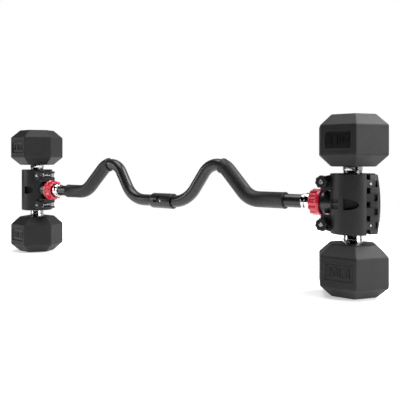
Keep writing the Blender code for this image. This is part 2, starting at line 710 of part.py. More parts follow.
def coupling(right_bar, finishes):
    """A sleeve fixed on the left tube. The right tube's pin enters by a keyway to an L slot."""
    bore = TUBE_R + GAP
    profile = [(bore, -COUPLING_HALF), (TUBE_R + 0.9 * MM, -COUPLING_HALF),
               (COUPLING_R, -COUPLING_HALF + 5 * MM), (COUPLING_R, COUPLING_HALF - 0.5 * MM),
               (COUPLING_R - 0.5 * MM, COUPLING_HALF), (bore, COUPLING_HALF)]
    item = place("coupling", at_middle(along_x(turned_ring(profile))), finishes["paint"])
    half = PIN_R + 0.35 * MM
    depth = 2 * COUPLING_R
    combine(item, at_middle(box((SLOT_BLIND, -depth, -half), (PIN_AT + half, 0, half))),
            "DIFFERENCE")
    combine(item, at_middle(box((LOCK_FROM, -depth, -half), (LOCK_TO, 0, LOCK_RISE))),
            "DIFFERENCE")
    combine(item, at_middle(box((PIN_AT, -KEYWAY_R, -half), (COUPLING_HALF + MM, 0, half))),
            "DIFFERENCE")
    low = TUBE_R - TUBE_WALL - 1.5 * MM
    hole = along_front(turned([(PIN_R + GAP / 2, 0), (PIN_R + GAP / 2, depth)], 16))
    combine(right_bar, at_middle(moved(hole, x=PIN_AT)), "DIFFERENCE")
    pin = along_front(turned([(PIN_R, low), (PIN_R, PIN_TOP - 0.4 * MM),
                              (PIN_R - 0.4 * MM, PIN_TOP)], 16))
    place("coupling_pin", at_middle(moved(pin, x=PIN_AT)), finishes["steel"])


def main():
    clear_scene()
    finishes = finish_colours()
    sides = (Side("left", -1), Side("right", 1))
    bars = {}
    for side in sides:
        dumbbell(side, finishes)
        door(side, finishes)
        body(side, finishes)
        liners(side, finishes)
        hinge_hardware(side, finishes)
        fasteners(side, finishes)
        swivel(side, finishes)
        bars[side.name] = bar_half(side, finishes)
    coupling(bars["right"], finishes)


main()
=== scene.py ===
"""Looks for two hexagonal dumbbells joined by an M-shaped curl bar. Metres, in the CAD's frame."""

import math

import bmesh
import bpy
from mathutils import Matrix, Vector


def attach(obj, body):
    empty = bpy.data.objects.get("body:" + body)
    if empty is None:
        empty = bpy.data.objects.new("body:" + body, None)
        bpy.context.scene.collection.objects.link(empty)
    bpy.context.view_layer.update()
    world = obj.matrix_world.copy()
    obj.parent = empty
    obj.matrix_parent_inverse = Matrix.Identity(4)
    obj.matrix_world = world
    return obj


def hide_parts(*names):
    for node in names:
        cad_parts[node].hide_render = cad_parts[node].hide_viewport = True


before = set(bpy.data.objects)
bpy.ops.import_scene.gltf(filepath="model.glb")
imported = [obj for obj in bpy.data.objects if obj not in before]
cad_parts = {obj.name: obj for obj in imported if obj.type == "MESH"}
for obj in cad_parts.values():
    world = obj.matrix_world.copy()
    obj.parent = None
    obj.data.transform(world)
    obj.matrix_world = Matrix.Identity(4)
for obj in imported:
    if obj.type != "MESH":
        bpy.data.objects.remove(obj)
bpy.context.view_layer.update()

MM = 0.001
GAP = 0.3 * MM

# Dumbbell
HALF_SPAN = 383 * MM
DUMBBELL_LENGTH = 275 * MM
HEAD_LENGTH = 79 * MM
HEAD_FLATS = 100 * MM
END_FLATS = 65 * MM
SHOULDER = 17 * MM
HEAD_TURNS = {"left": math.radians(-5.8), "right": math.radians(-2.5)}
HEAD_EDGE = 1.7 * MM
HANDLE_R = 14 * MM
HANDLE_END = (12 * MM, 37 * MM)  # radius and length inside each head
FLANGE_R = 14.8 * MM
FLANGE_LENGTH = 6 * MM
FLANGE_EDGE = 0.5 * MM
RUBBER = 5 * MM
MOUTH = (0.8 * MM, 1.3 * MM)  # depth and flare of the rubber's edge round the handle
KNURLS = 48.0  # waves of each of the two families round the handle
KNURL_HALF = 46 * MM
PANEL = (47 * MM, 29 * MM)  # the marked panel on each head's front flat
PANEL_EDGE = 0.35 * MM
PANEL_CORNERS = (3.6 * MM, 3.3 * MM, 3.0 * MM)  # at its foot, below its edge and on top
WELL_CORNERS = (1.6 * MM, 2.4 * MM, 2.6 * MM)  # at its floor, at its mouth and above it
WELL_FLARE = 0.6 * MM
PANEL_RISE = 0.6 * MM
PANEL_RIM = 2.0 * MM
PANEL_DEPTH = 1.3 * MM
PANEL_SLOPE = 1.4 * MM
MARK_HEIGHT = 14 * MM
MARK_WIDTH = 7.6 * MM
MARK_STROKE = 2.1 * MM
MARK_PITCH = 9.6 * MM
MARK_RISE = 1.1 * MM
TWO_HOOK = (165, -35)  # where the first mark's hook starts and ends, in degrees
OVAL_CORNERS = (3.2 * MM, 1.4 * MM)  # outer and inner
LOOP_CORNERS = (2.2 * MM, 0.9 * MM, 0.2 * MM)  # outer, inner and at the stem
LOOP_SHARE = 0.8  # the upper loop's reach beside the lower one's

# Clamp, in its own frame: x away from the bar, z from the bar's axis
BAR_Z = 139.5 * MM
SHELL_R = 34 * MM
SHELL_HALF = 46 * MM
SHELL_EDGE = 1.6 * MM
SHELL_BEVEL = 0.35 * MM
BORE_R = 17 * MM
LINER_HALF = 41 * MM
HINGE_X = 34.8 * MM
HINGE_HALF = 44.5 * MM
HINGE_PIN_R = 2.5 * MM
KNUCKLE_R = 8.3 * MM
KNUCKLE_CROWN = 4.0 * MM
KNUCKLE_PITCH = 20.7 * MM
SCREW_Z = 1.5 * KNUCKLE_PITCH
DOOR_KNUCKLE = 12 * MM
BLOCK_AT = 31  # degrees off the hinge's side where its block starts
HOLLOW = ((23.4 * MM, 12.7 * MM), (21.3 * MM, 6 * MM), (20.6 * MM, 0))
WEB = (19.5 * MM, 27.6 * MM, 16 * MM)  # a knuckle's root: inner x, outer x and inner height
WEB_SINK = 0.35 * MM
NOSE_AT = 0.66  # share of the block's face that a knuckle's nose covers
NOSE_DEPTH_MM = 4.5
NOSE_ROUND = 0.8 * MM
SCREW_AT = 0.42  # on the block's face, from its corner (0) to its touch (1)
SCREW_R = 1.6 * MM
SCREW_DEPTH = 3.4 * MM
SCREW_RISE = 0.35 * MM
SCREW_KEY = (1.6 * MM, 0.9 * MM)  # flats and depth
SCREW_HOLE = (1.9 * MM, 3.7 * MM)  # radius and depth
SLIT_AT = 0.894
SLIT = (6 * MM, 9.6 * MM, 0.7 * MM)  # width, height and corner radius
SLIT_WALL = 1.1 * MM
RECESS = (23 * MM, 8.5 * MM, 9 * MM)  # length, half height and depth
RECESS_TURN = math.radians(19)
WINDOW = (17 * MM, 1.2 * MM, 2.5 * MM)  # width, corner radius and depth
WINDOW_TURN = math.radians(-30)
WINDOWS = {"left": (), "right": ((-7.5 * MM, -1.8 * MM), (1.8 * MM, 7.5 * MM))}
EAR_X = -38.6 * MM
EAR_END = 6.8 * MM
EAR_LOW = 19.2 * MM
EAR_HIGH = 44.2 * MM
EAR_SLOPE = 3.5 * MM
EAR_FRONT = 18 * MM
EAR_BACK = 15.6 * MM
EAR_ROOT = -24.5 * MM
EAR_ROUND = 3 * MM
BOLT_Z = 32.8 * MM
PIVOT_Y = 9 * MM
PIVOT_R = 3 * MM
PIVOT_TOP = 42.4 * MM
EYE_R = 6.3 * MM
EYE_HALF = 4.1 * MM
SHANK_R = 3.6 * MM
THREAD_STEP = 0.5 * MM
THREAD_DEPTH = 0.35 * MM
SLOT_HALF = 4.4 * MM
WASHER_R = 8.6 * MM
WASHER_THICK = 1.5 * MM
KNOB_R = 10.2 * MM
KNOB_THICK = 10.5 * MM
KNOB_LOBES = 8
KNOB_WAVE = 1.1 * MM
KNOB_TURN = math.radians(10)
KNOB_EDGE = 1.5 * MM
KNOB_DISH = (6.2 * MM, 5.7 * MM, 0.7 * MM)  # radii at its rim and floor, and its depth
STUD_TIP = 1.6 * MM

# Swivel
SOCKET_R = 17.8 * MM
SOCKET_BORE = 11.5 * MM
SOCKET_IN = -23 * MM
SOCKET_OUT = -58 * MM
LUG = (-47 * MM, -40 * MM, 6 * MM, 1.0 * MM)  # from, to, width and rise
COLLAR_IN = -48 * MM
COLLAR_OUT = -67 * MM
COLLAR_R = 21.8 * MM
COLLAR_NOTCHES = 12
COLLAR_INSET = 0.9 * MM  # of the wave's crests from the rim behind
COLLAR_WAVE = 1.9 * MM
COLLAR_EDGE = 1.8 * MM
COLLAR_RIM = 5 * MM
NECK_R = 14.1 * MM
NECK_OUT = -78.5 * MM
NECK_WAIST = NECK_R - 2.2 * MM
NECK_WALL = NECK_WAIST + 1.4 * MM
NECK_SHOULDER = NECK_OUT + 11 * MM
RING_OUT = -83.5 * MM
RING_R = 13 * MM

# Bar
TUBE_R = 11.1 * MM
TUBE_WALL = 2 * MM
TUBE_END = HALF_SPAN - 27 * MM
BAR_MIDDLE = -11 * MM
BAR_PEAK = 78.5 * MM
CENTRE_RUN = 69 * MM
PEAK_AT = 129.5 * MM
OUTER_RUN = 206 * MM
CENTRE_BEND = 57 * MM
PEAK_BEND = 34.5 * MM
OUTER_BEND = 44 * MM
BEND_STEPS = (20, 28, 18)
M_CENTRE = -10 * MM
BAR_LEAN = math.radians(-4.4)
GRIP_R = 14 * MM
GRIP_RIM = (0.35 * MM, 3.5 * MM)  # rise and length
GRIP_EDGE = 0.8 * MM
GRIPS = {"left": (150 * MM, 274 * MM), "right": (134 * MM, 267 * MM)}
JOINT_AT = -3 * MM
COUPLING_R = 14.5 * MM
COUPLING_HALF = 27 * MM
COUPLING_TAPER = 5 * MM
PIN_AT = 3.6 * MM
PIN_R = 2 * MM
PIN_TOP = 13.4 * MM
KEYWAY_R = 13.8 * MM
SLOT_BLIND = -12.5 * MM
LOCK_FROM = -5 * MM
LOCK_TO = -0.8 * MM
LOCK_RISE = 9 * MM

ROUND = 64  # sides of a full-sized round
SMALL_ROUND = 32
WAVE_STEPS = 12  # points to each wave of a knob or collar
QUARTER = [math.pi / 2 * i / 4 for i in range(5)]  # turns of a rounded edge
BEVEL_ANGLE = math.radians(32)
OVERSIZE = 2 * MM  # how far cutters and cut solids reach past each other

# Stage, in metres and watts
FLOOR_R = 1.1
FLOOR_DROP = 0.4 * MM
FLOOR_FADE = ((0.3, 0.95), (0.4, 1.0))  # emission over the distance from the middle
WORLD_FADE = ((-0.2, 0.9), (0.0, 0.55))  # strength over the direction's Y
LIGHTS = {  # place, aim, width, height and power
    "overhead": ((-0.2, -0.15, 1.9), (0, 0, 0.1), 1.4, 1.0, 20),
    "back_box": ((1.15, 0.8, 1.6), (0.3, 0, 0.1), 1.2, 1.2, 44),
    "right_box": ((2.3, 0.15, 0.75), (0.383, 0, 0.2), 1.2, 1.3, 34),
    "left_box": ((-1.2, -0.8, 0.45), (-0.383, 0, 0.14), 0.6, 0.6, 5),
}
CAMERA_PLACE = (0.759, -0.878, 0.2035)
CAMERA_AHEAD = (-0.607, 0.795, 0)


# Materials

BLACK = (0.010, 0.010, 0.0105)
CHROME = (0.66, 0.66, 0.67)
NOISE_RANGE = (0.35, 0.65)


def plug(tree, node, inputs):
    """Gives a node's inputs their values, or links them where the value is a socket."""
    for key, value in inputs.items():
        if isinstance(value, bpy.types.NodeSocket):
            tree.links.new(value, node.inputs[key])
        else:
            node.inputs[key].default_value = value


def add_node(tree, kind, inputs=None, **settings):
    node = tree.nodes.new(f"ShaderNode{kind}")
    for name, value in settings.items():
        setattr(node, name, value)
    plug(tree, node, inputs or {})
    return node


def map_range(tree, source, before, after):
    """Maps a value from one range onto another."""
    ends = zip(("From Min", "From Max", "To Min", "To Max"), (*before, *after))
    return add_node(tree, "MapRange", {"Value": source, **dict(ends)}).outputs["Result"]


class Finish:
    """A procedural material, varied by noises given as the arguments of noise().

    tint is (noise, darkest and lightest share of the colour), rough (noise, lowest, highest),
    well (share of the colour kept as painted shade, roughness) for the faces marked as a well,
    and each of the bumps (noise, strength, distance)."""

    def __init__(self, name, colour, roughness, metallic=0.0, specular=0.5, coat=(0.0, 0.03),
                 tint=None, rough=None, well=None, bumps=()):
        self.made = bpy.data.materials.new(name)
        self.made.use_nodes = True
        self.tree = self.made.node_tree
        self.shader = self.tree.nodes["Principled BSDF"]
        self.colour = colour
        self.set({"Base Color": self.shade(1.0), "Roughness": roughness, "Metallic": metallic,
                  "Specular IOR Level": specular, "Coat Weight": coat[0],
                  "Coat Roughness": coat[1]})
        self.place = add_node(self.tree, "TexCoord").outputs["Object"]
        self.normal = {}
        if tint:
            self.tint(*tint)
        if rough:
            noise, low, high = rough
            varied = map_range(self.tree, self.noise(*noise), NOISE_RANGE, (low, high))
            self.set({"Roughness": varied})
        # painted shade: faces marked as a well or recess get a darker share of the colour
        if well:
            self.paint_shade_in_well(*well)
        for noise, strength, distance in bumps:
            self.bump(self.noise(*noise), strength, distance)

    def set(self, inputs):
        plug(self.tree, self.shader, inputs)

    def shade(self, share):
        return (*[c * share for c in self.colour], 1.0)

    def noise(self, scale, detail, roughness=0.55, stretch=None):
        place = self.place
        if stretch:
            place = add_node(self.tree, "Mapping",
                             {"Vector": place, "Scale": stretch}).outputs["Vector"]
        return add_node(self.tree, "TexNoise", {"Vector": place, "Scale": scale, "Detail": detail,
                                                "Roughness": roughness}).outputs["Fac"]

    def tint(self, noise, dark, light):
        """Varies the colour between two shades of itself."""
        ramp = add_node(self.tree, "ValToRGB", {"Fac": self.noise(*noise)})
        for element, place, share in zip(ramp.color_ramp.elements, NOISE_RANGE, (dark, light)):
            element.position = place
            element.color = self.shade(share)
        self.set({"Base Color": ramp.outputs["Color"]})

    def paint_shade_in_well(self, share, roughness):
        """Paints shade, a share of the colour, with a roughness, on faces marked as a well."""
        mark = add_node(self.tree, "Attribute", attribute_name="well").outputs["Fac"]
        for name, kind, data_type, value in (("Base Color", "Color", "RGBA", self.shade(share)),
                                             ("Roughness", "Float", "FLOAT", roughness)):
            mix = add_node(self.tree, "Mix", {"Factor": mark}, data_type=data_type)
            sockets = {socket.identifier: socket for socket in (*mix.inputs, *mix.outputs)}
            plain = self.shader.inputs[name].links[0].from_socket
            self.tree.links.new(plain, sockets[f"A_{kind}"])
            sockets[f"B_{kind}"].default_value = value
            self.set({name: sockets[f"Result_{kind}"]})

    def bump(self, height, strength, distance):
        """Adds a bump on top of those there are."""
        node = add_node(self.tree, "Bump", {"Strength": strength, "Distance": distance,
                                            "Height": height, **self.normal})
        self.normal = {"Normal": node.outputs["Normal"]}
        self.set(self.normal)

    def math(self, operation, *values):
        return add_node(self.tree, "Math", dict(enumerate(values)),
                        operation=operation).outputs["Value"]


def knurl(finish, axis_x):
    """Diamond knurling round a vertical handle, stopping short of the flanges."""
    split = add_node(finish.tree, "SeparateXYZ", {"Vector": finish.place})
    x, y, z = split.outputs
    do = finish.math
    turn = do("MULTIPLY", do("ARCTAN2", y, do("SUBTRACT", x, axis_x)), KNURLS)
    lift = do("MULTIPLY", z, KNURLS / HANDLE_R)
    one = do("ABSOLUTE", do("SINE", do("ADD", turn, lift)))
    two = do("ABSOLUTE", do("SINE", do("SUBTRACT", turn, lift)))
    off = do("ABSOLUTE", do("SUBTRACT", z, DUMBBELL_LENGTH / 2))
    inside = do("LESS_THAN", off, KNURL_HALF)
    finish.bump(do("MULTIPLY", do("MULTIPLY", one, two), inside), 0.6, 0.0006)


def make_finishes():
    made = {
        "rubber": Finish(
            "rubber_charcoal", (0.0115, 0.0115, 0.012), 0.55, specular=0.3,
            # painted shade: the panel's well gets 0.35 of the rubber's colour, and a roughness of
            # its own
            tint=((38, 4), 0.82, 1.22), rough=((1500, 3, 0.6), 0.47, 0.62), well=(0.35, 0.36),
            bumps=[((240, 2), 0.10, 0.0004), ((1500, 3, 0.6), 0.22, 0.00022)]),
        "nylon": Finish(
            "nylon_black", BLACK, 0.42, specular=0.32, tint=((60, 3), 0.88, 1.14),
            # painted shade: the door's recess and windows get 0.25 of the nylon's colour, and a
            # roughness of its own
            rough=((900, 3), 0.36, 0.48), well=(0.25, 0.6), bumps=[((2200, 2), 0.16, 0.00012)]),
        "knob": Finish(
            "nylon_knob", BLACK, 0.38, specular=0.25, tint=((120, 3), 0.88, 1.15),
            rough=((1100, 2), 0.42, 0.55), bumps=[((2400, 2), 0.14, 0.0001)]),
        "paint": Finish(
            "powder_coat_black", (0.008, 0.008, 0.0085), 0.33, coat=(0.15, 0.18),
            tint=((45, 3), 0.88, 1.15), rough=((700, 3), 0.28, 0.38),
            bumps=[((900, 2, 0.5), 0.04, 0.0001)]),
        "grip": Finish(
            "grip_black", BLACK, 0.5, specular=0.4, tint=((70, 3), 0.85, 1.18),
            rough=((1700, 4, 0.65), 0.42, 0.56), bumps=[((1700, 4, 0.65), 0.12, 0.00015)]),
        "red": Finish(
            "red_gloss", (0.56, 0.012, 0.033), 0.24, coat=(0.4, 0.08), tint=((90, 3), 0.9, 1.08),
            rough=((800, 2), 0.2, 0.3), bumps=[((300, 2), 0.03, 0.0001)]),
        "chrome": Finish(
            "chrome_polished", CHROME, 0.1, 1.0, rough=((260, 4), 0.06, 0.15),
            bumps=[((420, 2), 0.03, 0.0001)]),
        # painted shade: the swing bolts, pivot pins and washers get a darker copy of the steel's
        # colour
        "bolt": Finish(
            "steel_bolt_painted_shade", (0.30, 0.30, 0.31), 0.3, 1.0, tint=((350, 3), 0.8, 1.15),
            rough=((900, 3), 0.25, 0.4), bumps=[((1500, 2), 0.08, 0.0001)]),
        "steel": Finish(
            "zinc_steel", (0.58, 0.585, 0.60), 0.28, 1.0, tint=((400, 3), 0.85, 1.1),
            rough=((1200, 3, 0.6, (1, 1, 0.15)), 0.22, 0.38), bumps=[((1600, 2), 0.08, 0.0001)]),
        "iron": Finish(
            "cast_iron", (0.11, 0.11, 0.11), 0.6, 1.0, tint=((300, 4), 0.7, 1.2),
            bumps=[((900, 4), 0.3, 0.0004)]),
        "liner": Finish(
            "rubber_liner", (0.016, 0.016, 0.016), 0.8, tint=((200, 3), 0.85, 1.2),
            bumps=[((1800, 3), 0.25, 0.0002)]),
    }
    for name, sign in (("left", -1), ("right", 1)):
        handle = Finish(f"chrome_handle_{name}", CHROME, 0.12, 1.0, rough=((260, 4), 0.07, 0.18))
        knurl(handle, sign * HALF_SPAN)
        made[f"handle_{name}"] = handle
    return made


# Outlines and solids

def arc(centre, radius, start, stop, steps):
    """Points along an arc in the XY plane, ends included, angles in degrees."""
    turns = [math.radians(start + (stop - start) * i / steps) for i in range(steps + 1)]
    return [(centre[0] + radius * math.cos(t), centre[1] + radius * math.sin(t)) for t in turns]


def circle(radius, sides=ROUND, turn=0.0):
    turns = [turn + 2 * math.pi * i / sides for i in range(sides)]
    return [(radius * math.cos(t), radius * math.sin(t)) for t in turns]


def quarter_round(edge):
    """A rounded edge as (distance from its start, distance short of its end)."""
    return [(edge * (1 - math.cos(t)), edge * (1 - math.sin(t))) for t in QUARTER]


def hexagon(flats):
    return circle(flats / math.sqrt(3), 6)


def scalloped(radius, depth, count, sharp=1.0, turn=0.0):
    """A round outline with count waves of the given depth. A higher sharp makes wider lobes."""
    total = count * WAVE_STEPS
    points = []
    for i in range(total):
        t = 2 * math.pi * i / total
        r = radius - depth * (0.5 - 0.5 * math.cos(count * t)) ** sharp
        points.append((r * math.cos(t + turn), r * math.sin(t + turn)))
    return points


def bend(before, corner, after, radius, steps):
    """Points round a corner of a path in the plane, along an arc of the given radius."""
    one = (Vector(before) - Vector(corner)).normalized()
    two = (Vector(after) - Vector(corner)).normalized()
    half = one.angle(two) / 2
    centre = Vector(corner) + (one + two).normalized() * radius / math.sin(half)
    start = Vector(corner) + one * radius / math.tan(half) - centre
    stop = Vector(corner) + two * radius / math.tan(half) - centre
    turn = math.atan2(start.x * stop.y - start.y * stop.x, start.dot(stop))
    points = []
    for i in range(steps + 1):
        a = turn * i / steps
        points.append((centre.x + start.x * math.cos(a) - start.y * math.sin(a),
                       centre.y + start.x * math.sin(a) + start.y * math.cos(a)))
    return points


def rounded(corners, radii, steps=4):
    """A closed outline with its corners rounded, by one radius or one for each corner."""
    if isinstance(radii, (int, float)):
        radii = [radii] * len(corners)
    made = []
    for i, (corner, radius) in enumerate(zip(corners, radii)):
        if radius:
            made += bend(corners[i - 1], corner, corners[(i + 1) % len(corners)], radius, steps)
        else:
            made.append(corner)
    return made


def rectangle(width, height, radius, steps=4):
    x, y = width / 2, height / 2
    return rounded([(-x, -y), (x, -y), (x, y), (-x, y)], radius, steps)


def loft(sections, closed=False):
    """A solid through outlines of equal length, as (height, outline), or a ring if closed."""
    bm = bmesh.new()
    loops = [[bm.verts.new((x, y, z)) for x, y in outline] for z, outline in sections]
    pairs = list(zip(loops, loops[1:]))
    if closed:
        pairs.append((loops[-1], loops[0]))
    for low, high in pairs:
        for i in range(len(low)):
            j = (i + 1) % len(low)
            bm.faces.new((low[i], low[j], high[j], high[i]))
    if not closed:
        bm.faces.new(list(reversed(loops[0])))
        bm.faces.new(loops[-1])
    bmesh.ops.recalc_face_normals(bm, faces=bm.faces)
    return bm


def prism(outline, low, high):
    return loft([(low, outline), (high, outline)])


def turned(profile, sides=ROUND):
    """A solid turned about Z through (radius, height) points, with flat ends."""
    return loft([(z, circle(r, sides)) for r, z in profile])


def turned_ring(profile, sides=ROUND):
    """A ring turned about Z from a closed profile of (radius, height) points."""
    return loft([(z, circle(r, sides)) for r, z in profile], closed=True)


def box(low, high):
    outline = [(low[0], low[1]), (high[0], low[1]), (high[0], high[1]), (low[0], high[1])]
    return prism(outline, low[2], high[2])


def spun(bm, angle, axis="Z"):
    bmesh.ops.rotate(bm, verts=bm.verts, matrix=Matrix.Rotation(angle, 3, axis))
    return bm


def along_x(bm):
    """Turns a solid made about Z so that its height runs along +X."""
    return spun(bm, math.pi / 2, "Y")


def along_front(bm):
    """Turns a solid made about Z so that its height runs along -Y."""
    return spun(bm, math.pi / 2, "X")


def moved(bm, x=0.0, y=0.0, z=0.0):
    bmesh.ops.translate(bm, verts=bm.verts, vec=(x, y, z))
    return bm


def add_object(name, data):
    item = bpy.data.objects.new(name, data)
    bpy.context.scene.collection.objects.link(item)
    return item


def as_object(name, bm):
    mesh = bpy.data.meshes.new(name)
    bm.to_mesh(mesh)
    bm.free()
    return add_object(name, mesh)


def joined(bm):
    return "UNION", bm


def cut(bm):
    return "DIFFERENCE", bm


def shape(name, bm, steps=(), bevel=0.0, first=0.0):
    """Applies Booleans given as (operation, solid), with a bevel before or after them."""
    item = as_object(name, bm)
    tools = []
    if first:
        add_bevel(item, first, 4)
    for operation, solid in steps:
        tool = as_object(f"{name}_tool", solid)
        tools.append(tool)
        step = item.modifiers.new("step", "BOOLEAN")
        step.object = tool
        step.operation = operation
        step.solver = "EXACT"
    if bevel:
        add_bevel(item, bevel, 2)
    apply_steps(item)
    for tool in tools:
        bpy.data.meshes.remove(tool.data)
    return item


def apply_steps(item):
    """Turns an object's modifiers into its mesh."""
    graph = bpy.context.evaluated_depsgraph_get()
    mesh = bpy.data.meshes.new_from_object(item.evaluated_get(graph))
    old = item.data
    item.modifiers.clear()
    item.data = mesh
    bpy.data.meshes.remove(old)
    mesh.name = item.name


def add_bevel(item, width, segments):
    step = item.modifiers.new("bevel", "BEVEL")
    step.width = width
    step.segments = segments
    step.limit_method = "ANGLE"
    step.angle_limit = BEVEL_ANGLE
    step.harden_normals = False
    step.use_clamp_overlap = True


def dress(item, finish, body, stands_for, smooth=34, flat=False):
    """Gives a piece its material and its body, and hides the CAD nodes it stands for."""
    mesh = item.data
    mesh.materials.clear()
    mesh.materials.append(finishes[finish].made)
    mesh.shade_smooth()
    mesh.set_sharp_from_angle(angle=math.radians(smooth))
    if flat:
        step = item.modifiers.new("normals", "WEIGHTED_NORMAL")
        step.keep_sharp = True
        apply_steps(item)
    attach(item, body)
    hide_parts(*stands_for)


class Side:
    """One end of the bar: pieces are drawn as at the right and mirrored for the left."""

    def __init__(self, name, sign):
        self.name = name
        self.sign = sign

    def world(self, bm):
        for vert in bm.verts:
            x, y, z = vert.co
            vert.co = (self.sign * (HALF_SPAN + x), y, BAR_Z + z)
        if self.sign < 0:
            bmesh.ops.reverse_faces(bm, faces=bm.faces)
        return bm

    def shape(self, name, bm, steps=(), **how):
        """Makes a piece's mesh from solids drawn for the right."""
        placed = [(operation, self.world(solid)) for operation, solid in steps]
        return shape(f"{self.name}_{name}_look", self.world(bm), placed, **how)

    def body(self, name):
        return f"bar_{self.name}" if name == "bar" else f"{self.name}_{name}"

    def node(self, name):
        return f"{self.name}_{name}"

    def piece(self, name, bm, finish, body, slot, steps=(), smooth=34, flat=False, **how):
        """Makes and dresses a piece that stands for the CAD node of its own name."""
        item = self.shape(name, bm, steps, **how)
        dress(item, finish, self.body(body), [self.node(name)], smooth, flat)


# Dumbbell

def ribbon(points, width):
    """The outline of a stroke of even width along a path."""
    left, right = [], []
    for i, point in enumerate(points):
        before = Vector(points[max(i - 1, 0)])
        after = Vector(points[min(i + 1, len(points) - 1)])
        here = Vector(point)
        along_in = (here - before).normalized() if i else (after - here).normalized()
        along_out = (after - here).normalized() if i < len(points) - 1 else along_in
        ahead = (along_in + along_out).normalized()
        out = Vector((-ahead.y, ahead.x)) * width / 2 / max(ahead.dot(along_out), 0.5)
        left.append(tuple(here + out))
        right.append(tuple(here - out))
    return left + right[::-1]


def mark_strokes():
    """Outlines of the four marks: solid strokes as (outline,), rings as (outer, inner)."""
    w, h, s = MARK_WIDTH - MARK_STROKE, MARK_HEIGHT - MARK_STROKE, MARK_STROKE
    x, y = w / 2, h / 2
    two = [(-x, y * 0.45)] + arc((0, y - x), x, *TWO_HOOK, 10) + [(-x, -y), (x + s / 2, -y)]
    ell = [(-x, y + s / 2), (-x, -y), (x + s / 2, -y)]
    outer = rectangle(w + s, h + s, OVAL_CORNERS[0], 6)
    inner = rectangle(w - s, h - s, OVAL_CORNERS[1], 6)
    strokes = [(-1.5, [(ribbon(two, s),)]), (-0.5, [(outer, inner)]), (0.5, [(ribbon(ell, s),)])]
    rings = []
    for low, high, reach in ((-y, 0, x), (0, y, x * LOOP_SHARE)):
        middle, tall, wide = (low + high) / 2, high - low, reach + x
        shift = (reach - x) / 2
        ring = []
        for grow, r in zip((s, -s), LOOP_CORNERS):
            a, b = (wide + grow) / 2, (tall + grow) / 2
            corners = [(shift - a, middle - b), (shift + a, middle - b), (shift + a, middle + b),
                       (shift - a, middle + b)]
            ring.append(rounded(corners, [LOOP_CORNERS[2], r, r, LOOP_CORNERS[2]], 5))
        rings.append(tuple(ring))
    strokes.append((1.5, rings))
    return strokes


def raised(rings, low, high):
    """A solid from a stroke's outline, or a ring's two."""
    if len(rings) == 1:
        return prism(rings[0], low, high)
    outer, inner = rings
    return loft([(low, outer), (high, outer), (high, inner), (low, inner)], closed=True)


def panel_steps():
    """Booleans for a raised panel with marks, drawn flat about the origin, facing +Z."""
    (width, height), edge = PANEL, PANEL_EDGE
    plate = [rectangle(width + 2 * grow, height + 2 * grow, corner)
             for grow, corner in zip((edge, 0, -edge), PANEL_CORNERS)]
    wide, tall = width - 2 * PANEL_RIM, height - 2 * PANEL_RIM
    well = [rectangle(wide + grow, tall + grow, corner)
            for grow, corner in zip((-2 * PANEL_SLOPE, 0, WELL_FLARE), WELL_CORNERS)]
    steps = [joined(loft(list(zip((-MM, PANEL_RISE - edge, PANEL_RISE), plate)))),
             cut(loft(list(zip((-PANEL_DEPTH, PANEL_RISE, PANEL_RISE + MM), well))))]
    for place, strokes in mark_strokes():
        for rings in strokes:
            stroke = raised(rings, -PANEL_DEPTH - MM, -PANEL_DEPTH + MARK_RISE)
            steps.append(joined(moved(stroke, x=place * MARK_PITCH)))
    return steps


def stand(side, bm, top):
    """Puts a head made from z = 0 upwards at the foot of the dumbbell, or upside down on top."""
    if top:
        moved(spun(bm, math.pi, "X"), z=DUMBBELL_LENGTH)
    return moved(spun(bm, side.sign * HEAD_TURNS[side.name]), z=-BAR_Z)


def on_front_flat(side, bm, top):
    """Stands a flat drawing up on a head's front flat, upside down on the upper head."""
    if top:
        spun(bm, math.pi)
    if side.sign < 0:
        for vert in bm.verts:
            vert.co.x = -vert.co.x
        bmesh.ops.reverse_faces(bm, faces=bm.faces)
    middle = DUMBBELL_LENGTH - HEAD_LENGTH / 2 if top else HEAD_LENGTH / 2
    moved(along_front(bm), y=-HEAD_FLATS / 2)
    return moved(spun(bm, side.sign * HEAD_TURNS[side.name]), z=middle - BAR_Z)


def mark_panel_shade(side, mesh):
    """Marks the faces that lie below the front flat, in the panel's well, for painted shade."""
    turn = HEAD_TURNS[side.name]
    facing = Vector((math.sin(turn), -math.cos(turn), 0))
    axis = Vector((side.sign * HALF_SPAN, 0, 0))
    low, high = HEAD_FLATS / 2 - 2 * PANEL_DEPTH, HEAD_FLATS / 2 - 0.1 * MM
    marks = mesh.attributes.new("well", "FLOAT", "FACE")
    half = Vector(PANEL) / 2
    for face, mark in zip(mesh.polygons, marks.data):
        spot = face.center - axis
        middles = (HEAD_LENGTH / 2, DUMBBELL_LENGTH - HEAD_LENGTH / 2)
        across = abs(spot.x * facing.y - spot.y * facing.x)
        inside = across < half.x and min(abs(spot.z - m) for m in middles) < half.y
        mark.value = float(inside and low < spot.dot(facing) < high)


def heads(side):
    lengths = (0, SHOULDER, HEAD_LENGTH - SHOULDER, HEAD_LENGTH)
    flats = (END_FLATS, HEAD_FLATS, HEAD_FLATS, END_FLATS)
    for level, top in (("bottom", False), ("top", True)):
        head = stand(side, loft([(z, hexagon(f)) for z, f in zip(lengths, flats)]), top)
        steps = [(operation, on_front_flat(side, solid, top))
                 for operation, solid in panel_steps()]
        mouth = turned([(FLANGE_R + GAP, HEAD_LENGTH - 2 * RUBBER),
                        (FLANGE_R + GAP, HEAD_LENGTH - MOUTH[0]),
                        (FLANGE_R + MOUTH[1], HEAD_LENGTH + MM)])
        steps.append(cut(stand(side, mouth, top)))
        item = side.shape(f"{level}_head", head, steps, first=HEAD_EDGE)
        mark_panel_shade(side, item.data)
        dress(item, "rubber", side.body("dumbbell"),
              [side.node(f"{level}_head_rubber")], smooth=28, flat=True)


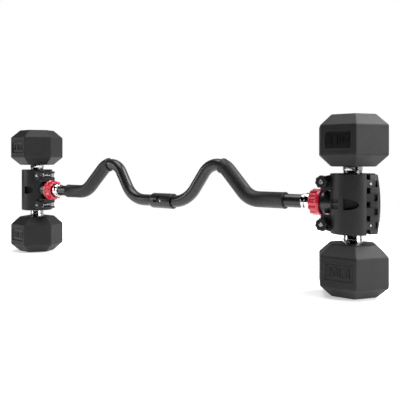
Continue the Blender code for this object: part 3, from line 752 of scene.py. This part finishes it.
def handle(side):
    middle = DUMBBELL_LENGTH / 2
    shoulder = middle - HEAD_LENGTH + RUBBER - GAP
    seat = shoulder - RUBBER - FLANGE_LENGTH
    inner, reach = HANDLE_END
    half = [(inner, shoulder + reach), (inner, shoulder), (FLANGE_R - FLANGE_EDGE, shoulder),
            (FLANGE_R, shoulder - FLANGE_EDGE)]
    half += bend((FLANGE_R, shoulder), (FLANGE_R, seat), (HANDLE_R, seat), 0.8 * MM, 4)
    half += [(HANDLE_R + 0.2 * MM, seat - 0.4 * MM), (HANDLE_R, seat - 1.2 * MM)]
    profile = half + [(r, -z) for r, z in reversed(half)]
    side.piece("handle", moved(turned(profile), z=middle - BAR_Z), f"handle_{side.name}",
               "dumbbell", "chrome")


# Clamp

def block_point(radius=SHELL_R):
    """Where the hinge block leaves the shell's round, on the y > 0 side."""
    turn = math.radians(BLOCK_AT)
    return (radius * math.cos(turn), radius * math.sin(turn))


def half_shell_outline(front, radius):
    """Half of the shell's round, from the ears' side to the hinge, hollowed for the knuckles."""
    s = -1 if front else 1
    points = arc((0, 0), radius, 180 + math.degrees(math.asin(OVERSIZE / radius)), BLOCK_AT, 44)
    points += list(HOLLOW) + [(HOLLOW[-1][0], -OVERSIZE)]
    return [(x, s * y) for x, y in points]


def ear(front, sign):
    """One ear. The door's is rounded about the bolt's pivot, so the knob clears it."""
    end = EAR_X - EAR_END
    if front:
        reach = EAR_FRONT + PIVOT_Y
        tip = 270 - math.degrees(math.asin(EAR_END / reach))
        outline = [(EAR_ROOT, OVERSIZE), (EAR_ROOT, -EAR_FRONT)]
        outline += arc((EAR_X, PIVOT_Y), reach, 270, tip, 8) + [(end, OVERSIZE)]
    else:
        outline = rounded([(EAR_ROOT, -OVERSIZE), (EAR_ROOT, EAR_BACK), (end, EAR_BACK),
                           (end, -OVERSIZE)], [0, 0, EAR_ROUND, 0], 5)
    bm = prism(outline, EAR_LOW, EAR_HIGH)
    for vert in bm.verts:
        x, y, z = vert.co
        if z > EAR_LOW + MM:
            z -= EAR_SLOPE * (EAR_ROOT - x) / (EAR_ROOT - end)
        vert.co = (x, y, sign * z)
    bmesh.ops.recalc_face_normals(bm, faces=bm.faces)
    return bm


def knuckle_radius(z):
    return KNUCKLE_R - KNUCKLE_CROWN * (z / HINGE_HALF) ** 2


def block_face(z):
    """Tangent point, normal angle and corner of the hinge block's face, on the y > 0 side."""
    corner = Vector(block_point())
    hinge = Vector((HINGE_X, 0))
    radius = knuckle_radius(z)
    away = corner - hinge
    turn = math.atan2(away.y, away.x) - math.acos(radius / away.length)
    return hinge + radius * Vector((math.cos(turn), math.sin(turn))), turn, corner


def knuckle_outline(z):
    """A knuckle as on the rear shell: web and flush face at y > 0, nose at y < 0."""
    touch, turn, corner = block_face(z)
    radius = knuckle_radius(z)
    normal = Vector((math.cos(turn), -math.sin(turn)))
    low_touch = Vector((touch.x, -touch.y))
    low_corner = Vector((corner.x, -corner.y))
    nose = low_touch + (low_corner - low_touch) * NOSE_AT
    nose_in = nose - normal * NOSE_DEPTH_MM * MM
    points = [(WEB[0], GAP), (WEB[1], GAP), tuple(nose_in)]
    points += bend(nose_in, nose, low_touch, NOSE_ROUND, 3)
    points += arc((HINGE_X, 0), radius, -math.degrees(turn), math.degrees(turn), 16)
    return points + [block_point(SHELL_R - WEB_SINK), (WEB[0], WEB[2])]


def knuckle(front, low, high):
    s = -1 if front else 1
    sections = []
    for i in range(5):
        z = low + (high - low) * i / 4
        sections.append((z, [(x, s * y) for x, y in knuckle_outline(z)]))
    return loft(sections)


def door_knuckles():
    centres = [(i - 1.5) * KNUCKLE_PITCH for i in range(4)]
    return [(z - DOOR_KNUCKLE / 2, z + DOOR_KNUCKLE / 2) for z in centres]


def body_knuckles():
    edges = [-HINGE_HALF]
    for low, high in door_knuckles():
        edges += [low - GAP, high + GAP]
    edges.append(HINGE_HALF)
    return list(zip(edges[::2], edges[1::2]))


def on_block(bm, z, along):
    """Puts a solid that faces -Y on the block's face, along from its corner (0) to touch (1)."""
    touch, turn, corner = block_face(z)
    point = corner + (touch - corner) * along
    spun(bm, math.pi / 2 - turn)
    moved(bm, point.x, -point.y, z)
    return bm


def pocket(outline, depth, turn):
    """The cutter for a pocket in the door's face, turned that far round the handle's axis."""
    bm = moved(along_front(prism(outline, 0, SHELL_R)), y=depth - SHELL_R)
    return spun(bm, turn)


def recess_outline(point_to):
    """A half oval, blunt where it starts and round where it ends, towards +x or -x."""
    length, half = RECESS[:2]
    steps = 14
    quarter = [math.pi / 2 * i / steps for i in range(steps + 1)]
    upper = [(length * (math.sin(t) - 0.5), half * math.cos(t)) for t in quarter]
    lower = [(x, -z) for x, z in reversed(upper[:-1])]
    return [(point_to * x, z) for x, z in upper + lower]


def shell_steps(front):
    """Booleans for what both halves have: ears, bore, split, knuckles, seats and bolt slots."""
    steps = [joined(ear(front, sign)) for sign in (-1, 1)]
    steps.append(cut(turned([(BORE_R, -SHELL_HALF - MM), (BORE_R, SHELL_HALF + MM)])))
    spare = (-GAP / 2, 2 * OVERSIZE) if front else (-2 * OVERSIZE, GAP / 2)
    steps.append(cut(box((-2 * SHELL_R, spare[0], -2 * SHELL_HALF),
                         (HINGE_X, spare[1], 2 * SHELL_HALF))))
    for low, high in door_knuckles() if front else body_knuckles():
        steps.append(joined(knuckle(front, low, high)))
    pin = turned([(HINGE_PIN_R + GAP, -SHELL_HALF), (HINGE_PIN_R + GAP, SHELL_HALF)], SMALL_ROUND)
    steps.append(cut(moved(pin, x=HINGE_X)))
    seat = SOCKET_R + GAP
    steps.append(cut(along_x(turned([(seat, -SHELL_R - 20 * MM), (seat, SOCKET_IN + GAP)]))))
    slot_end = EAR_X + (SLOT_HALF if front else EYE_R + GAP)
    for sign in (-1, 1):
        z = sign * BOLT_Z
        steps.append(cut(box((EAR_X - 2 * EAR_END, -2 * EAR_FRONT, z - SLOT_HALF),
                             (slot_end, 2 * EAR_FRONT, z + SLOT_HALF))))
    return steps


def shell_body(front):
    sections = [(-SHELL_HALF + rise, half_shell_outline(front, SHELL_R - short))
                for rise, short in quarter_round(SHELL_EDGE)]
    return loft(sections + [(-z, outline) for z, outline in reversed(sections)])


def shells(side):
    steps = shell_steps(True)
    recess = recess_outline(side.sign)
    steps.append(cut(pocket(recess, RECESS[2], side.sign * RECESS_TURN)))
    width, corner, depth = WINDOW
    for low, high in WINDOWS[side.name]:
        outline = [(x, z + (low + high) / 2) for x, z in rectangle(width, high - low, corner)]
        steps.append(cut(pocket(outline, depth, WINDOW_TURN)))
    for low, high in door_knuckles():
        z = (low + high) / 2
        depth = knuckle_radius(z) - HINGE_PIN_R - SLIT_WALL
        slit = moved(along_front(prism(rectangle(*SLIT), 0, 12 * MM)), y=depth)
        steps.append(cut(on_block(slit, z, SLIT_AT)))
    radius, depth = SCREW_HOLE
    for sign in (-1, 1):
        hole = along_front(turned([(radius, 0), (radius, 8 * MM)], SMALL_ROUND))
        steps.append(cut(on_block(moved(hole, y=depth), sign * SCREW_Z, SCREW_AT)))
    item = side.shape("front_shell", shell_body(True), steps, bevel=SHELL_BEVEL)
    mark_recess_shade(side, item.data)
    dress(item, "nylon", side.body("door"), [side.node("front_shell")], flat=True)

    steps = shell_steps(False)
    for sign in (-1, 1):
        hole = turned([(PIVOT_R + GAP, sign * (EAR_LOW + 0.8 * MM)),
                       (PIVOT_R + GAP, sign * (SHELL_HALF + MM))], SMALL_ROUND)
        steps.append(cut(moved(hole, x=EAR_X, y=PIVOT_Y)))
    side.piece("rear_shell", shell_body(False), "nylon", "clamp", "nylon", steps, flat=True,
               bevel=SHELL_BEVEL)


def mark_recess_shade(side, mesh):
    """Marks the faces inside the door's recess and window, clear of the bore and the outside, for
    painted shade.
    """
    axis = Vector((side.sign * HALF_SPAN, 0, BAR_Z))
    marks = mesh.attributes.new("well", "FLOAT", "FACE")
    for face, mark in zip(mesh.polygons, marks.data):
        spot = face.center - axis
        reach = math.hypot(spot.x, spot.y)
        inside = BORE_R + 2 * MM < reach < SHELL_R - 0.6 * MM
        mark.value = float(inside and spot.y < -BORE_R and abs(spot.z) < 10 * MM)


def liners(side):
    for name, start, body in (("front_liner", 180, "door"), ("rear_liner", 0, "clamp")):
        inner, outer = HANDLE_R + GAP, BORE_R - GAP
        lift = math.degrees(math.asin(GAP / inner))
        outline = arc((0, 0), outer, start + lift, start + 180 - lift, 40)
        outline += arc((0, 0), inner, start + 180 - lift, start + lift, 40)
        side.piece(name, prism(outline, -LINER_HALF, LINER_HALF), "liner", body, "liner",
                   bevel=0.4 * MM)


def hinge_hardware(side):
    rim = 0.5 * MM
    end = HINGE_HALF - rim
    half = [(HINGE_PIN_R - rim, end), (HINGE_PIN_R, end - rim)]
    pin = [(r, -z) for r, z in half] + half[::-1]
    side.piece("hinge_pin", moved(turned(pin, SMALL_ROUND), x=HINGE_X), "steel", "clamp", "steel")
    top = SCREW_RISE
    flats, depth = SCREW_KEY
    for name, sign in (("lower", -1), ("upper", 1)):
        screw = turned([(SCREW_R, -SCREW_DEPTH), (SCREW_R, top - 0.3 * MM),
                        (SCREW_R - 0.3 * MM, top)], SMALL_ROUND)
        key = prism(hexagon(flats), top - depth, top + MM)
        screw, key = (on_block(along_front(bm), sign * SCREW_Z, SCREW_AT) for bm in (screw, key))
        side.piece(f"{name}_hinge_screw", screw, "steel", "door", "steel", [cut(key)])


# Swing bolts and knobs

def shank(seat):
    """A swing bolt's threaded shank, from its eye to past the knob."""
    tip = seat + WASHER_THICK + GAP + KNOB_THICK + STUD_TIP
    profile = [(SHANK_R, -PIVOT_Y + PIVOT_R + 1.5 * MM), (SHANK_R, seat - 2 * MM)]
    while profile[-1][1] < tip - 1.2 * MM - THREAD_STEP:
        deep = len(profile) % 2 == 0
        profile.append((SHANK_R - (THREAD_DEPTH if deep else 0), profile[-1][1] + THREAD_STEP))
    profile += [(SHANK_R - 0.2 * MM, tip - 1.0 * MM), (SHANK_R - 1.1 * MM, tip)]
    return along_front(turned(profile, SMALL_ROUND))


def fasteners(side):
    seat = EAR_FRONT + GAP
    rim = 0.4 * MM
    for level, sign in (("lower", -1), ("upper", 1)):
        z = sign * BOLT_Z
        low, high = sorted((sign * (EAR_LOW + 1.1 * MM), sign * PIVOT_TOP))
        pin = turned([(PIVOT_R - rim, low), (PIVOT_R, low + rim), (PIVOT_R, high - rim),
                      (PIVOT_R - rim, high)], SMALL_ROUND)
        side.piece(f"{level}_pivot_pin", moved(pin, x=EAR_X, y=PIVOT_Y), "bolt", "clamp", "steel")

        eye = turned([(EYE_R - rim, -EYE_HALF), (EYE_R, rim - EYE_HALF),
                      (EYE_R, EYE_HALF - rim), (EYE_R - rim, EYE_HALF)], 48)
        hole = turned([(PIVOT_R + GAP, -2 * EYE_HALF), (PIVOT_R + GAP, 2 * EYE_HALF)], SMALL_ROUND)
        side.piece(f"{level}_swing_bolt", moved(eye, EAR_X, PIVOT_Y, z), "bolt",
                   f"{level}_bolt", "chrome",
                   [joined(moved(shank(seat), x=EAR_X, z=z)),
                    cut(moved(hole, EAR_X, PIVOT_Y, z))])

        bore = SHANK_R + GAP
        profile = rounded([(bore, seat), (WASHER_R, seat), (WASHER_R, seat + WASHER_THICK),
                           (bore, seat + WASHER_THICK)], 0.25 * MM, 3)
        washer = moved(along_front(turned_ring(profile, 48)), x=EAR_X, z=z)
        side.piece(f"{level}_washer", washer, "bolt", f"{level}_washer", "steel")
        lobed = moved(along_front(knob(bore, seat + WASHER_THICK + GAP)), x=EAR_X, z=z)
        side.piece(f"{level}_knob", lobed, "knob", f"{level}_knob", "nylon", smooth=40)


def knob(bore, start):
    """A lobed knob with rounded rims, a dished front and a plain bore."""
    end = start + KNOB_THICK

    def outline(inset):
        return scalloped(KNOB_R - inset, KNOB_WAVE, KNOB_LOBES, turn=KNOB_TURN)

    def ring(radius):
        return circle(radius, KNOB_LOBES * WAVE_STEPS, KNOB_TURN)

    edge = [(short, outline(inset)) for inset, short in quarter_round(KNOB_EDGE)]
    sections = [(start, ring(bore))]
    sections += [(start + short, waved) for short, waved in reversed(edge)]
    sections += [(end - short, waved) for short, waved in edge]
    rim, bottom, depth = KNOB_DISH
    sections += [(end, ring(rim)), (end - depth, ring(bottom)), (end - depth, ring(bore))]
    return loft(sections, closed=True)


# Swivel

def swivel(side):
    profile = rounded([(SOCKET_BORE, SOCKET_OUT), (SOCKET_R, SOCKET_OUT), (SOCKET_R, SOCKET_IN),
                       (SOCKET_BORE, SOCKET_IN)], 0.6 * MM, 3)
    start, stop, width, rise = LUG
    lug = moved(along_x(prism(rectangle(2 * rise, width, 0.9 * rise), start, stop)), z=SOCKET_R)
    side.piece("socket", along_x(turned_ring(profile)), "paint", "clamp", "paint", [joined(lug)])
    side.piece("collar", collar(), "red", "collar", "red", smooth=40)

    profile = [(SOCKET_BORE, NECK_OUT), (NECK_WAIST, NECK_OUT)]
    profile += bend((NECK_WAIST, NECK_OUT), (NECK_R, NECK_OUT + 2.5 * MM),
                    (NECK_R, NECK_OUT + 9 * MM), 1.2 * MM, 4)
    profile += bend((NECK_R, NECK_OUT + 2 * MM), (NECK_R, NECK_OUT + 8 * MM),
                    (NECK_WALL, NECK_SHOULDER), 1.2 * MM, 4)
    profile += [(NECK_WALL, NECK_SHOULDER), (NECK_WALL, SOCKET_OUT - GAP),
                (SOCKET_BORE, SOCKET_OUT - GAP)]
    side.piece("neck", along_x(turned_ring(profile)), "chrome", "bar", "chrome")

    profile = rounded([(SOCKET_BORE, RING_OUT), (RING_R, RING_OUT), (RING_R, NECK_OUT - GAP),
                       (SOCKET_BORE, NECK_OUT - GAP)], [0.3 * MM, MM, MM, 0.3 * MM], 4)
    side.piece("neck_ring", along_x(turned_ring(profile)), "chrome", "bar", "chrome")


def collar():
    """Waved for the fingers on the bar's side, with a smooth rim behind."""
    def waved(inset):
        return scalloped(COLLAR_R - COLLAR_INSET - inset, COLLAR_WAVE, COLLAR_NOTCHES, 1.5)

    def ring(radius):
        return circle(radius, COLLAR_NOTCHES * WAVE_STEPS)

    step = COLLAR_IN - COLLAR_RIM
    shoulder = SOCKET_OUT - GAP
    sections = [(COLLAR_OUT + 1.2 * MM, ring(NECK_R + GAP)),
                (COLLAR_OUT + 0.2 * MM, ring(NECK_R + 1.2 * MM)),
                (COLLAR_OUT, ring(NECK_R + 2.0 * MM))]
    sections += [(COLLAR_OUT + short, waved(inset))
                 for inset, short in reversed(quarter_round(COLLAR_EDGE))]
    sections += [(step - 0.9 * MM, waved(0)), (step - 0.3 * MM, ring(COLLAR_R - 0.8 * MM)),
                 (step, ring(COLLAR_R - 0.2 * MM)), (step + 0.5 * MM, ring(COLLAR_R)),
                 (COLLAR_IN - MM, ring(COLLAR_R)),
                 (COLLAR_IN - 0.3 * MM, ring(COLLAR_R - 0.3 * MM)),
                 (COLLAR_IN, ring(COLLAR_R - MM)), (COLLAR_IN, ring(SOCKET_R + GAP)),
                 (shoulder, ring(SOCKET_R + GAP)), (shoulder, ring(NECK_R + GAP))]
    return along_x(loft(sections, closed=True))


# Bar

def bar_route(side):
    """A half of the bar as (distance from its centre, height over its ends)."""
    shift = side.sign * M_CENTRE
    corners = [(0, BAR_MIDDLE), (CENTRE_RUN + shift, BAR_MIDDLE), (PEAK_AT + shift, BAR_PEAK),
               (OUTER_RUN + shift, 0), (TUBE_END, 0)]
    route = []
    radii = (CENTRE_BEND, PEAK_BEND, OUTER_BEND)
    for i, (radius, steps) in enumerate(zip(radii, BEND_STEPS)):
        route += bend(*corners[i:i + 3], radius, steps)
    return route


def clipped(route, start, stop):
    """The part of the route between two distances from the centre, with its ends added."""
    def height(s):
        for (a, p), (b, q) in zip(route, route[1:]):
            if a <= s <= b:
                return p + (q - p) * (s - a) / (b - a)
        return route[0][1] if s < route[0][0] else route[-1][1]
    inside = [point for point in route if start + MM < point[0] < stop - MM]
    return [(start, height(start))] + inside + [(stop, height(stop))]


def in_bar(sign, distance, height):
    return Vector((sign * distance, -math.sin(BAR_LEAN) * height,
                   BAR_Z + math.cos(BAR_LEAN) * height))


def swept(points, profile, sides=48):
    """Sweeps a closed profile along points, as (radius, number of a point, shift from it)."""
    across = Vector((0, -math.cos(BAR_LEAN), -math.sin(BAR_LEAN)))
    frames = []
    for i, point in enumerate(points):
        before = (point - points[i - 1]).normalized() if i else None
        after = (points[i + 1] - point).normalized() if i < len(points) - 1 else None
        ahead = ((before or after) + (after or before)).normalized()
        frames.append((point, ahead, ahead.cross(across).normalized(),
                       1 / ahead.dot(after or before)))
    bm = bmesh.new()
    loops = []
    for radius, index, shift in profile:
        point, ahead, up, widen = frames[index]
        centre = point + ahead * shift
        loops.append([bm.verts.new(centre + radius * (math.cos(t) * across +
                                                      math.sin(t) * widen * up))
                      for t in [2 * math.pi * k / sides for k in range(sides)]])
    for one, two in zip(loops, loops[1:] + loops[:1]):
        for k in range(sides):
            bm.faces.new((one[k], one[(k + 1) % sides], two[(k + 1) % sides], two[k]))
    bmesh.ops.recalc_face_normals(bm, faces=bm.faces)
    return bm


def tube_profile(points, outer, inner, edge, rim=0.0, rim_length=0.0):
    """Radii along a tube's outside, with rounded ends and, for a grip, a thicker rim."""
    last = len(points) - 1
    top = outer + rim
    edges = quarter_round(edge)
    made = [(top - short, 0, shift) for shift, short in edges]
    if rim:
        made += [(top, 0, rim_length), (outer, 0, rim_length + rim)]
    made += [(outer, i, 0) for i in range(1, last)]
    if rim:
        made += [(outer, last, -rim_length - rim), (top, last, -rim_length)]
    made += [(top - short, last, -shift) for shift, short in reversed(edges)]
    made += [(inner, last, 0)] + [(inner, i, 0) for i in range(last - 1, 0, -1)] + [(inner, 0, 0)]
    return made


def at_middle(bm):
    return moved(bm, *in_bar(1, 0, BAR_MIDDLE))


def bars(side):
    start = side.sign * JOINT_AT + (GAP if side.sign > 0 else 0)
    points = [in_bar(side.sign, s, e) for s, e in clipped(bar_route(side), start, TUBE_END)]
    tube = swept(points, tube_profile(points, TUBE_R, TUBE_R - TUBE_WALL, 0.5 * MM))
    steps = []
    if side.sign > 0:
        hole = along_front(turned([(PIN_R + GAP / 2, 0), (PIN_R + GAP / 2, 2 * COUPLING_R)],
                                 SMALL_ROUND))
        steps.append(cut(at_middle(moved(hole, x=PIN_AT))))
    dress(shape(f"{side.name}_bar_look", tube, steps), "paint", side.body("bar"),
          [side.node("bar")], smooth=45)

    points = [in_bar(side.sign, s, e) for s, e in clipped(bar_route(side), *GRIPS[side.name])]
    sleeve = swept(points, tube_profile(points, GRIP_R - GRIP_RIM[0], TUBE_R + GAP, GRIP_EDGE,
                                        *GRIP_RIM))
    dress(shape(f"{side.name}_grip_look", sleeve), "grip", side.body("bar"),
          [side.node("grip")], smooth=45)


def coupling():
    bore = TUBE_R + GAP
    profile = rounded([(bore, -COUPLING_HALF), (TUBE_R + 0.9 * MM, -COUPLING_HALF),
                       (COUPLING_R, -COUPLING_HALF + COUPLING_TAPER), (COUPLING_R, COUPLING_HALF),
                       (bore, COUPLING_HALF)],
                      [0.1 * MM, 0.15 * MM, 1.2 * MM, 0.6 * MM, 0.3 * MM], 4)
    half = PIN_R + 0.35 * MM
    depth = 2 * COUPLING_R
    slots = [box((SLOT_BLIND, -depth, -half), (PIN_AT + half, 0, half)),
             box((LOCK_FROM, -depth, -half), (LOCK_TO, 0, LOCK_RISE)),
             box((PIN_AT, -KEYWAY_R, -half), (COUPLING_HALF + MM, 0, half))]
    item = shape("coupling_look", at_middle(along_x(turned_ring(profile))),
                 [cut(at_middle(slot)) for slot in slots])
    dress(item, "paint", "bar_left", ["coupling"])
    low = TUBE_R - TUBE_WALL - 1.5 * MM
    pin = turned([(PIN_R, low), (PIN_R, PIN_TOP - 0.8 * MM),
                  (PIN_R - 0.25 * MM, PIN_TOP - 0.3 * MM), (PIN_R - 0.8 * MM, PIN_TOP)],
                 SMALL_ROUND)
    item = shape("coupling_pin_look", at_middle(moved(along_front(pin), x=PIN_AT)))
    dress(item, "steel", "bar_right", ["coupling_pin"])


# Stage

def floor():
    """A white disc that glows more towards its rim, so that it runs into the background."""
    bm = bmesh.new()
    bmesh.ops.create_circle(bm, cap_ends=True, segments=96, radius=FLOOR_R)
    item = as_object("floor", bm)
    item.location = (0, 0, -FLOOR_DROP)
    made = bpy.data.materials.new("floor_white")
    made.use_nodes = True
    tree = made.node_tree
    where = add_node(tree, "TexCoord").outputs["Object"]
    length = add_node(tree, "VectorMath", {0: where}, operation="LENGTH")
    plug(tree, tree.nodes["Principled BSDF"], {
        "Base Color": (0.92, 0.92, 0.92, 1), "Roughness": 0.75, "Specular IOR Level": 0.2,
        "Emission Color": (1, 1, 1, 1),
        "Emission Strength": map_range(tree, length.outputs["Value"], *FLOOR_FADE)})
    item.data.materials.append(made)


def add_aimed(name, data, place, ahead):
    """Adds a light or a camera that looks along the direction ahead."""
    item = add_object(name, data)
    item.location = place
    item.rotation_euler = Vector(ahead).to_track_quat("-Z", "Y").to_euler()
    return item


def light(name, place, aim, width, height, power):
    data = bpy.data.lights.new(name, "AREA")
    data.shape = "RECTANGLE"
    data.size = width
    data.size_y = height
    data.energy = power
    add_aimed(name, data, place, Vector(aim) - Vector(place))


def studio():
    """A white background for the camera, and a dimmer one, bright at the back, for the rest."""
    world = bpy.data.worlds.new("studio")
    bpy.context.scene.world = world
    world.use_nodes = True
    tree = world.node_tree
    where = add_node(tree, "TexCoord").outputs["Generated"]
    ahead = add_node(tree, "SeparateXYZ", {"Vector": where}).outputs["Y"]
    camera_ray = add_node(tree, "LightPath").outputs["Is Camera Ray"]
    seen = add_node(tree, "Math", {0: camera_ray, 1: map_range(tree, ahead, *WORLD_FADE)},
                    operation="MAXIMUM")
    plug(tree, tree.nodes["Background"], {"Color": (1, 1, 1, 1),
                                          "Strength": seen.outputs["Value"]})
    for name, how in LIGHTS.items():
        light(name, *how)
    bpy.context.scene.view_settings.view_transform = "Standard"


def camera():
    data = bpy.data.cameras.new("camera")
    data.sensor_width = 36
    data.lens = 54.4
    data.shift_y = -0.096
    data.clip_start = 0.05
    data.clip_end = 60
    bpy.context.scene.camera = add_aimed("camera", data, CAMERA_PLACE, CAMERA_AHEAD)


camera()
finishes = make_finishes()
for side in (Side("left", -1), Side("right", 1)):
    heads(side)
    handle(side)
    shells(side)
    liners(side)
    hinge_hardware(side)
    fasteners(side)
    swivel(side)
    bars(side)
    for level in ("bottom", "top"):
        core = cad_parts[side.node(f"{level}_head_core")]
        core.data.materials.clear()
        core.data.materials.append(finishes["iron"].made)
coupling()
floor()
studio()
